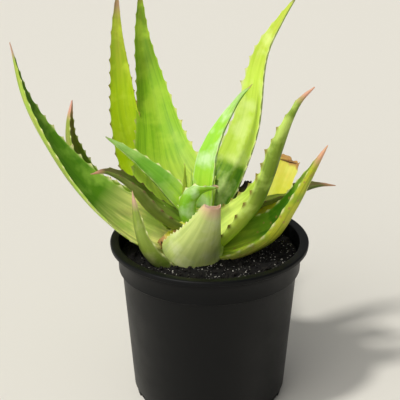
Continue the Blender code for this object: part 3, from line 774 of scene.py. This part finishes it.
def rosette_blades() -> list[LeafBlade]:
    """List the plant's leaves.

    Returns:
        The leaves, from the front of the plant round to its small stubs.
    """
    return [
        LeafBlade("leaf_front_cut", "leaf_fresh", Skin.GREY,
                  ((268, 11, -7), (269, 20, -1), (272, 26, 8), (279, 34, 23), (285.5, 45, 49)),
                  (272, 280, 284), 51, 44, 8, (85, 72, 50), widest=0.25, fullness=0.85, end_share=0.23,
                  end=LeafEnd.CUT, tooth_spacing=4.0, tooth_height=1.1, dry_length=14, seed=11),
        LeafBlade("spear_left", "leaf_fresh", Skin.LIME, ((190, 6, 21), (188, 6, 42), (186, 6, 61)),
                  (270, 270, 270), 6, 5, 1.2, fullness=1.0, tooth_height=0.4, tooth_spacing=5, dry_length=2,
                  seed=12),
        LeafBlade("spear_right", "leaf_fresh", Skin.LEAF, ((225, 3, 21), (220, 2, 40), (200, 2, 57)),
                  (270, 270, 270), 5, 4, 1.2, fullness=1.0, tooth_height=0.4, tooth_spacing=5, dry_length=2,
                  seed=13),
        LeafBlade("leaf_centre_curl", "leaf_fresh", Skin.MINT,
                  ((215, 5, 18), (228, 7, 31), (240, 6, 38), (300, 5, 43), (336, 10, 45), (344, 15, 46)),
                  (235, 275, 300), 12, 10, 3, (35, 40, 40), fullness=2.4, end_share=0.3, end=LeafEnd.TORN,
                  tooth_spacing=5, tooth_height=1.6, dry_length=2, seed=14),
        LeafBlade("leaf_inner_left", "leaf_deep", Skin.LEAF,
                  ((160, 4, 28), (163, 20, 45), (160, 33, 54), (159, 46, 62), (156, 64, 69)), (158, 158, 158),
                  15, 14, 4, (30, 30, 30), (-25, -25, -20), fullness=1.4, tooth_height=1.1, dry_length=4,
                  seed=15),
        LeafBlade("leaf_right_inner", "leaf_fresh", Skin.MINT,
                  ((50, 8, 26), (48, 13, 58), (47, 23, 76), (45, 39, 93), (44, 53, 102)), (60, 40, 25),
                  18, 15, 4, (30, 30, 30), widest=0.3, fullness=1.2, tooth_height=1.6, right_teeth=0.0,
                  dry_length=7, seed=16),
        LeafBlade("leaf_left_arched", "leaf_olive", Skin.OLIVE,
                  ((195, 8, 18), (187, 26, 32), (190, 41, 50), (192, 56, 60), (192, 67.5, 59)),
                  (188, 192, 193), 25, 22, 6, (35, 35, 35), fullness=1.4, tooth_height=1.5, dry_length=12,
                  seed=17),
        LeafBlade("leaf_right_upright", "leaf_fresh", Skin.SAGE,
                  ((-8, 12, 8), (-16, 30, 27), (-15, 40.5, 41), (-14, 48, 58), (-12, 53, 74), (-10, 60, 93),
                   (-7, 67, 106), (-5, 76, 115)), (-12, -10, -5), 26, 26, 7, (50, 60, 50), (35, -5, -45),
                  fullness=1.1, dry_length=18, seed=18),
        LeafBlade("leaf_back_tall", "leaf_deep", Skin.BRIGHT,
                  ((120, 8, 14), (119, 37, 39), (113, 64, 62), (111.5, 81, 86), (112, 95, 117),
                   (111.5, 101, 150)), (110, 100, 90), 61, 36, 7, (35, 35, 35), fullness=0.6, dry_length=12,
                  seed=19),
        LeafBlade("leaf_right_tall", "leaf_fresh", Skin.CANARY,
                  ((62, 10, 10), (53.5, 37, 40), (49, 54, 72), (46.5, 60, 107), (42, 62, 126),
                   (35.5, 68, 144), (30, 77, 162)), (60, 50, 30), 28, 22, 6, (30, 30, 30), fullness=1.3,
                  seed=20),
        LeafBlade("leaf_left_large", "leaf_deep", Skin.GREEN,
                  ((190, 12, 7), (184, 48, 27), (181, 79, 57), (180, 105, 101), (180, 115, 142)),
                  (180, 180, 180), 35, 29, 6, (28, 42, 45), (-45, -22, 10), widest=0.15, fullness=1.0,
                  dry_length=14, seed=21),
        LeafBlade("leaf_right_low", "leaf_fresh", Skin.SPOTTED,
                  ((-18, 14, 2), (-16, 31, 8), (-15, 51, 20), (-14, 64, 39), (-13, 74, 58), (-12, 86, 80)),
                  (-15, -15, -12), 34, 30, 7, (45, 45, 45), (25, 12, 0), tooth_height=1.2, dry_length=20,
                  seed=22),
        LeafBlade("leaf_back_left", "leaf_fresh", Skin.LIME,
                  ((128, 14, 6), (124, 63, 33), (126, 78, 64), (126, 84, 96), (126, 88, 126),
                   (126, 87, 156)), (115, 85, 80), 31, 22, 6, (35, 35, 35), fullness=1.2, dry_length=24,
                  tooth_height=1.5, seed=23),
        LeafBlade("leaf_front_thin", "leaf_fresh", Skin.DUSKY,
                  ((232, 26, -6), (228, 33, 2), (223, 41, 14), (216, 44, 30), (207, 44, 50)), (225, 210, 200),
                  19, 17, 5, fullness=1.2, tooth_height=0.8, dry_length=17, seed=24),
        LeafBlade("leaf_right_broken", "leaf_yellow", Skin.YELLOW,
                  ((26, 16, 6), (24, 43, 18), (24.5, 57, 31), (25, 70, 52)), (25, 25, 25),
                  27, 18, 4, (25, 25, 25), (20, 40, 40), fullness=1.6, end_share=0.6, end=LeafEnd.TORN,
                  dry_length=5, seed=25),
        LeafBlade("leaf_right_arched", "leaf_olive", Skin.OLIVE,
                  ((40, 14, 8), (28, 44, 24), (18, 70, 33), (16, 85, 36), (17, 99, 33)), (30, 18, 17),
                  24, 16, 5, (35, 35, 35), fullness=1.7, end=LeafEnd.WITHERED, tooth_height=1.0,
                  dry_length=16, seed=26),
        LeafBlade("leaf_left_small", "leaf_fresh", Skin.ROSY,
                  ((152, 16, 6), (150, 60, 22.5), (151, 81, 33), (151, 94, 54), (150, 97, 71),
                   (148.5, 96, 86)), (160, 160, 155), 33, 20, 5, (40, 40, 40), (0, 10, 15), fullness=1.9,
                  tooth_height=1.7, tooth_spacing=6, dry_length=16, seed=27),
        LeafBlade("stub_back_right", "leaf_dried", Skin.BROWN, ((35, 14, 16), (28, 34, 29), (30, 42, 39)),
                  (32, 30, 28), 14, 12, 3, end_share=0.5, end=LeafEnd.TORN, tooth_height=0.8, seed=28),
        LeafBlade("stub_front_upper", "leaf_fresh", Skin.YELLOW,
                  ((239, 10, 20), (228, 13, 19), (223, 17, 15)), (230, 222, 222), 10, 9, 2.5,
                  end_share=0.45, end=LeafEnd.TORN, tooth_height=0.5, seed=29),
        LeafBlade("stub_front_lower", "leaf_yellow", Skin.YELLOW, ((225, 9, 14), (215, 18, 12), (210, 25, 8)),
                  (225, 215, 210), 14, 13, 3, end_share=0.6, end=LeafEnd.TORN, tooth_height=0.5, seed=30),
    ]


@dataclass
class Stem:
    """The short stem: a stubby taper ringed by the scars of shed leaves."""

    rings: int = 24
    sides: int = 48
    taper: float = 0.46
    scar_depth: float = 0.5 * MM
    scar_height: float = 2.2 * MM
    rim: float = 1 * MM
    bumps_per_metre: float = 300

    def build(self) -> list[bpy.types.Object]:
        """Swell and ring a cone the size of the frame's stem.

        Returns:
            The stem.
        """
        low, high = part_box("stem")
        radius, height = (high.x - low.x) / 2, high.z - low.z
        work = bmesh.new()
        bmesh.ops.create_cone(work, cap_ends=True, segments=self.sides, radius1=radius,
                              radius2=radius * self.taper, depth=height)
        uprights = [edge for edge in work.edges if abs(edge.verts[0].co.z - edge.verts[1].co.z) > self.rim]
        bmesh.ops.subdivide_edges(work, edges=uprights, cuts=self.rings, use_grid_fill=True)
        for vertex in work.verts:
            across = Vector((vertex.co.x, vertex.co.y, 0))
            if across.length > self.rim and abs(vertex.co.z) < height / 2 - self.rim:
                ring = math.sin(vertex.co.z / self.scar_height * math.pi)
                rough = noise.noise(vertex.co * self.bumps_per_metre)
                vertex.co -= across.normalized() * self.scar_depth * (0.5 + 0.5 * ring + 0.5 * rough)
        bmesh.ops.translate(work, vec=(low + high) / 2, verts=work.verts)
        core = finish_mesh(work, "stem_core")
        core.data.shade_smooth()
        return [core]

    def dress(self, pieces: list[bpy.types.Object]) -> None:
        """Give the stem its pale fibres and tie it to the frame.

        Args:
            pieces: The stem.
        """
        for obj in pieces:
            obj.data.materials.append(Grit("pale fibrous stem", dark="#7C7A3E", light="#B3B468").material())
            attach(obj, BODY)
            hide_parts("stem")


@dataclass
class SoilBed:
    """The soil: a crumbled surface in the pot, with bark crumbs and pale grit lying on it.

    lumps holds (size in mm, shift of its pattern, share of lump) for each size of lump.
    """

    rings: int = 60
    sides: int = 150
    bottom_share: float = 0.84
    settled: float = 1.5 * MM
    dome: float = 1.2 * MM
    lump: float = 1.3 * MM
    lumps: tuple[tuple[float, tuple[float, float, float], float], ...] = (
        (11.0, (0, 0, 0), 0.9), (4.0, (3, 7, 1), 0.7), (1.6, (9, 2, 5), 0.45))
    crumbs: int = 900
    crumb_mm: tuple[float, float] = (0.5, 1.6)
    grits: int = 1100
    grit_mm: tuple[float, float] = (0.2, 0.6)
    seed: int = 5

    def rise(self, x: float, y: float, outer: float) -> float:
        """Give the bed's rise above its level: a low dome with lumps of three sizes.

        Args:
            x: The place, in metres.
            y: The place, in metres.
            outer: The bed's radius.

        Returns:
            The rise in metres.
        """
        here = Vector((x, y, 0.0))
        lumps = sum(share * noise.noise(here / (size * MM) + Vector(shift))
                    for size, shift, share in self.lumps)
        return self.dome * (1 - (math.hypot(x, y) / outer) ** 2) + self.lump * lumps

    @staticmethod
    def extrude_ring(work: bmesh.types.BMesh, edges: list[bmesh.types.BMEdge], share: float,
                     height: float) -> list[bmesh.types.BMEdge]:
        """Extrude a ring of edges to another width and height.

        Args:
            work: The bed's mesh.
            edges: The ring.
            share: The new ring's radius as a share of the old one's.
            height: Its height in metres.

        Returns:
            The new ring.
        """
        geom = bmesh.ops.extrude_edge_only(work, edges=edges)["geom"]
        rim = {item for item in geom if isinstance(item, bmesh.types.BMVert)}
        for vertex in rim:
            vertex.co = Vector((vertex.co.x * share, vertex.co.y * share, height))
        return [item for item in geom if isinstance(item, bmesh.types.BMEdge) and rim.issuperset(item.verts)]

    def build(self) -> list[bpy.types.Object]:
        """Turn the bed, crumble its surface and scatter the crumbs.

        Returns:
            The bed, the bark crumbs and the grit.
        """
        low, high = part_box("soil")
        outer = (high.x - low.x) / 2
        level = high.z - self.settled
        work = bmesh.new()
        bmesh.ops.create_circle(work, cap_ends=False, segments=self.sides, radius=outer * self.bottom_share)
        bmesh.ops.translate(work, vec=(0, 0, low.z), verts=work.verts)
        edges = list(work.edges)
        bmesh.ops.holes_fill(work, edges=edges, sides=0)
        edges = self.extrude_ring(work, edges, 1 / self.bottom_share, level)
        for ring in range(1, self.rings):
            edges = self.extrude_ring(work, edges, (self.rings - ring) / (self.rings - ring + 1), level)
        bmesh.ops.holes_fill(work, edges=edges, sides=0)
        for vertex in work.verts:
            if vertex.co.z > level - 1 * MM:
                vertex.co.z += self.rise(vertex.co.x, vertex.co.y, outer)
        bmesh.ops.recalc_face_normals(work, faces=work.faces)
        bed = finish_mesh(work, "soil_bed")
        bed.data.shade_smooth()
        rng = np.random.default_rng(self.seed)
        return [bed, self.scatter("bark_crumbs", self.crumbs, self.crumb_mm, outer, level, rng),
                self.scatter("pale_grit", self.grits, self.grit_mm, outer, level, rng)]

    def scatter(self, name: str, count: int, sizes: tuple[float, float], outer: float, level: float,
                rng: np.random.Generator) -> bpy.types.Object:
        """Scatter small stones over the bed as one piece.

        Each is a stretched, roughened and turned copy of one ball, half sunk in the bed. The copies are
        joined as arrays, because mesh operators slow down as such a piece grows.

        Args:
            name: The piece's name.
            count: How many stones.
            sizes: Their smallest and largest radius in mm.
            outer: The bed's radius.
            level: The flat soil's height.
            rng: The bed's random source.

        Returns:
            The piece.
        """
        work = bmesh.new()
        bmesh.ops.create_icosphere(work, subdivisions=1, radius=1.0)
        ball = np.array([vertex.co for vertex in work.verts])
        sides = np.array([[vertex.index for vertex in face.verts] for face in work.faces])
        work.free()
        corners, faces = [], []
        for number in range(count):
            away = outer * 0.97 * math.sqrt(rng.random())
            turn = rng.random() * math.tau
            size = (sizes[0] + (sizes[1] - sizes[0]) * rng.random() ** 2.5) * MM
            x, y = away * math.cos(turn), away * math.sin(turn)
            stretch = np.array((1.0 + 0.8 * rng.random(), 1.0, 0.6 + 0.4 * rng.random()))
            stone = ball * stretch * size * (1 + 0.35 * (rng.random((len(ball), 1)) - 0.5))
            spin = Matrix.Rotation(rng.random() * math.tau, 3, Vector(rng.random(3) - 0.5).normalized())
            height = level + self.rise(x, y, outer) + size * 0.35
            corners.append(stone @ np.array(spin).T + (x, y, height))
            faces.append(sides + number * len(ball))
        mesh = bpy.data.meshes.new(name)
        mesh.from_pydata(np.concatenate(corners).tolist(), [], np.concatenate(faces).tolist())
        return add_object(name, mesh)

    def dress(self, pieces: list[bpy.types.Object]) -> None:
        """Give the soil and its crumbs their earths and tie them to the frame.

        Args:
            pieces: The bed, the bark crumbs and the grit.
        """
        # Peat drinks the light, bark shows dull brown edges, and grit sparkles in a few pale patches.
        finishes = (Grit("moist peat", dark="#050505", light="#1A1816", patch_mm=2.0),
                    Grit("bark crumbs", dark="#070606", light="#24211D", patch_mm=4.0),
                    Grit("washed grit", dark="#1E1D1B", light="#C4C0B6", patch_mm=9.0, roughness=0.7))
        for obj, finish in zip(pieces, finishes):
            obj.data.materials.append(finish.material())
            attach(obj, BODY)
            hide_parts("soil")


@dataclass
class NurseryPot:
    """The pot: a thin moulded shell with a rolled lip, a collar, a stepped foot and drainage slots."""

    lip_overhang: float = 4.5 * MM
    lip_height: float = 3.5 * MM
    lip_round: float = 1.2 * MM
    line_drop: float = 8.0 * MM
    collar_height: float = 19 * MM
    collar_step: float = 2.2 * MM
    collar_draft: float = 1 * MM
    body_draft: float = 7 * MM
    foot_height: float = 6 * MM
    foot_inset: float = 1.7 * MM
    foot_round: float = 0.8 * MM
    wall: float = 1.6 * MM
    slots: int = 8
    slot_size: tuple[float, float, float] = (9 * MM, 9 * MM, 9 * MM)
    steps: int = 180

    def outline(self) -> list[tuple[float, float]]:
        """List the shell's outline from the inside of the floor over the lip to the underside.

        Returns:
            (radius, height) points in metres.
        """
        low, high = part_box("pot")
        lip, top = high.x, high.z
        collar = lip - self.lip_overhang
        collar_base = collar - self.collar_draft
        body = collar_base - self.collar_step
        base = body - self.body_draft
        foot = base - self.foot_inset
        seam = top - self.collar_height
        mouth = collar - self.wall
        under_lip = top - self.lip_height
        line = top - self.line_drop
        ledge = self.foot_height - self.foot_inset / 2
        return [
            # Inside: the floor, the step over the foot, the body and the step under the collar.
            (0.0, self.wall), (foot - self.wall, self.wall), (foot - self.wall, ledge),
            (base - self.wall, self.foot_height), (body - self.wall, seam - self.wall),
            (collar_base - self.wall, seam + self.collar_step - self.wall),
            # The lip, rounded inside and outside, with a soft lower edge.
            *self.arc(mouth + self.lip_round, top - self.lip_round, self.lip_round, 180, 90),
            *self.arc(lip - self.lip_round, top - self.lip_round, self.lip_round, 90, 0),
            (lip - self.lip_round * 0.2, under_lip + 0.4 * MM), (lip - self.lip_round * 0.6, under_lip),
            (collar + 0.7 * MM, under_lip - 0.3 * MM), (collar, under_lip - 1.0 * MM),
            # The collar, with a faint moulding line, and the body under it.
            (collar - 0.15 * MM, line), (collar - 0.45 * MM, line - 0.4 * MM),
            (collar_base, seam + 0.4 * MM), (collar_base - 0.4 * MM, seam),
            (body + 0.3 * MM, seam - 0.7 * MM), (body, seam - 1.2 * MM),
            # The stepped foot and the underside.
            (base, self.foot_height + 0.5 * MM), (base - 0.3 * MM, self.foot_height),
            (foot + 0.2 * MM, ledge), (foot, self.foot_height - self.foot_inset),
            *self.arc(foot - self.foot_round, low.z + self.foot_round, self.foot_round, 0, -90),
            (0.0, low.z),
        ]

    @staticmethod
    def arc(x: float, z: float, radius: float, start: float, stop: float) -> list[tuple[float, float]]:
        """List the points of an arc between two angles in degrees."""
        angles = [math.radians(start + (stop - start) * step / 5) for step in range(6)]
        return [(x + radius * math.cos(angle), z + radius * math.sin(angle)) for angle in angles]

    def build(self) -> list[bpy.types.Object]:
        """Spin the outline and cut the drainage slots.

        Returns:
            The pot.
        """
        work = bmesh.new()
        points = [work.verts.new((radius, 0, height)) for radius, height in self.outline()]
        edges = [work.edges.new(pair) for pair in zip(points, points[1:])]
        bmesh.ops.spin(work, geom=points + edges, cent=(0, 0, 0), axis=(0, 0, 1), angle=math.tau,
                       steps=self.steps, use_merge=True)
        bmesh.ops.remove_doubles(work, verts=work.verts, dist=0.01 * MM)
        bmesh.ops.recalc_face_normals(work, faces=work.faces)
        pot = finish_mesh(work, "pot_shell")
        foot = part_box("pot")[1].x - self.lip_overhang - self.collar_draft - self.collar_step
        foot -= self.body_draft + self.foot_inset
        cutter = self.slot_cutter(foot)
        boolean = pot.modifiers.new("drainage", "BOOLEAN")
        boolean.operation = "DIFFERENCE"
        boolean.solver = "EXACT"
        boolean.object = cutter
        view = bpy.context.evaluated_depsgraph_get()
        cut = bpy.data.meshes.new_from_object(pot.evaluated_get(view))
        pot.modifiers.clear()
        pot.data = cut
        bpy.data.objects.remove(cutter, do_unlink=True)
        pot.data.shade_smooth()
        pot.data.set_sharp_from_angle(angle=math.radians(38))
        return [pot]

    def slot_cutter(self, foot: float) -> bpy.types.Object:
        """Make the ring of blocks that cuts the drainage slots.

        Args:
            foot: The foot's radius.

        Returns:
            The ring as one object.
        """
        work = bmesh.new()
        for index in range(self.slots):
            block = bmesh.ops.create_cube(work, size=1.0)["verts"]
            bmesh.ops.scale(work, vec=self.slot_size, verts=block)
            bmesh.ops.translate(work, vec=(foot, 0, 0), verts=block)
            turn = Matrix.Rotation(math.tau * (index + 0.5) / self.slots, 3, "Z")
            bmesh.ops.rotate(work, cent=(0, 0, 0), matrix=turn, verts=block)
        return finish_mesh(work, "slot_cutter")

    def dress(self, pieces: list[bpy.types.Object]) -> None:
        """Give the pot its moulded plastic and tie it to the frame.

        Args:
            pieces: The pot.
        """
        for obj in pieces:
            obj.data.materials.clear()
            obj.data.materials.append(MouldedPolypropylene().material())
            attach(obj, BODY)
            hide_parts("pot")


@dataclass(frozen=True)
class Lamp:
    """A far lamp: where it stands and how wide it looks, in degrees. A wide one throws soft shadows."""

    name: str
    heading: float
    rise: float
    strength: float
    spread: float
    colour: tuple[float, float, float] = (1.0, 0.98, 0.94)
    distance: float = 2.0

    def hang(self) -> None:
        """Hang the lamp and turn it towards the object."""
        rise, heading = math.radians(self.rise), math.radians(self.heading)
        level = math.cos(rise)
        towards = Vector((level * math.cos(heading), level * math.sin(heading), math.sin(rise)))
        sun = bpy.data.lights.new(self.name, "SUN")
        sun.energy = self.strength
        sun.angle = math.radians(self.spread)
        sun.color = self.colour
        lamp = add_object(self.name, sun)
        lamp.rotation_euler = towards.to_track_quat("Z", "Y").to_euler()
        lamp.location = towards * self.distance


@dataclass
class Studio:
    """The stage: a pale floor, a key and a soft box at the left front, a fill that fades, and the camera."""

    floor_reach: float = 6.0
    lamps: tuple[Lamp, ...] = (Lamp("key", 214.0, 60.0, 1.8, 7.0), Lamp("softbox", 236.0, 30.0, 1.3, 60.0))
    fill: float = 0.34
    fill_left: float = 1.6
    fill_right: float = 0.4
    camera_distance: float = 1.0
    camera_rise: float = 23.2
    camera_lens: float = 139.0
    camera_film: float = 36.0
    aim: tuple[float, float, float] = (-0.0062, 0.0, 0.1375)

    def build(self) -> None:
        """Set the floor, the lights and the camera."""
        self.lay_floor()
        for lamp in self.lamps:
            lamp.hang()
        self.fill_room()
        self.set_camera()
        bpy.context.scene.view_settings.view_transform = "Standard"

    def lay_floor(self) -> None:
        """Lay a wide sheet of paper under the object."""
        work = bmesh.new()
        bmesh.ops.create_grid(work, x_segments=8, y_segments=8, size=self.floor_reach)
        floor = finish_mesh(work, "studio_floor")
        floor.data.materials.append(StudioPaper().material())

    def fill_room(self) -> None:
        """Light the room from all round, more on the key's side than on the right."""
        world = bpy.data.worlds.new("fill")
        world.use_nodes = True
        tree = world.node_tree
        place = add_node(tree, "ShaderNodeTexCoord")
        split = add_node(tree, "ShaderNodeSeparateXYZ", inputs={0: place.outputs["Generated"]})
        fall = add_node(tree, "ShaderNodeMapRange", inputs={
            0: split.outputs["X"], 1: -1.0, 2: 1.0, 3: self.fill * self.fill_left,
            4: self.fill * self.fill_right})
        set_sockets(tree, tree.nodes["Background"], {
            "Strength": fall.outputs[0], "Color": (1.0, 1.0, 1.0, 1.0)})
        bpy.context.scene.world = world

    def set_camera(self) -> None:
        """Aim the camera at the object from the front and above."""
        lens = bpy.data.cameras.new("camera")
        lens.lens = self.camera_lens
        lens.sensor_width = self.camera_film
        camera = add_object("camera", lens)
        rise = math.radians(self.camera_rise)
        away = Vector((0.0, -math.cos(rise), math.sin(rise)))
        camera.location = Vector(self.aim) + away * self.camera_distance
        camera.rotation_euler = away.to_track_quat("Z", "Y").to_euler()
        bpy.context.scene.camera = camera


def report(pieces: list[bpy.types.Object]) -> None:
    """Log each piece's name and how many faces it has.

    Args:
        pieces: The finished pieces.
    """
    for piece in pieces:
        LOG.info("%s: %d faces", piece.name, len(piece.data.polygons))


def main() -> None:
    """Build every piece in order and report each."""
    logging.basicConfig(level=logging.INFO, format="%(message)s")
    Studio().build()
    for assembly in (NurseryPot(), SoilBed(), Stem()):
        pieces = assembly.build()
        assembly.dress(pieces)
        report(pieces)
    low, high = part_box("stem")
    crown = Vector(((low.x + high.x) / 2, (low.y + high.y) / 2, low.z + CROWN_RISE))
    skins = {skin: skin.value.material() for skin in Skin}
    for blade in rosette_blades():
        leaf = blade.build(crown)
        blade.dress(leaf, skins)
        report([leaf])


if __name__ == "__main__":
    main()
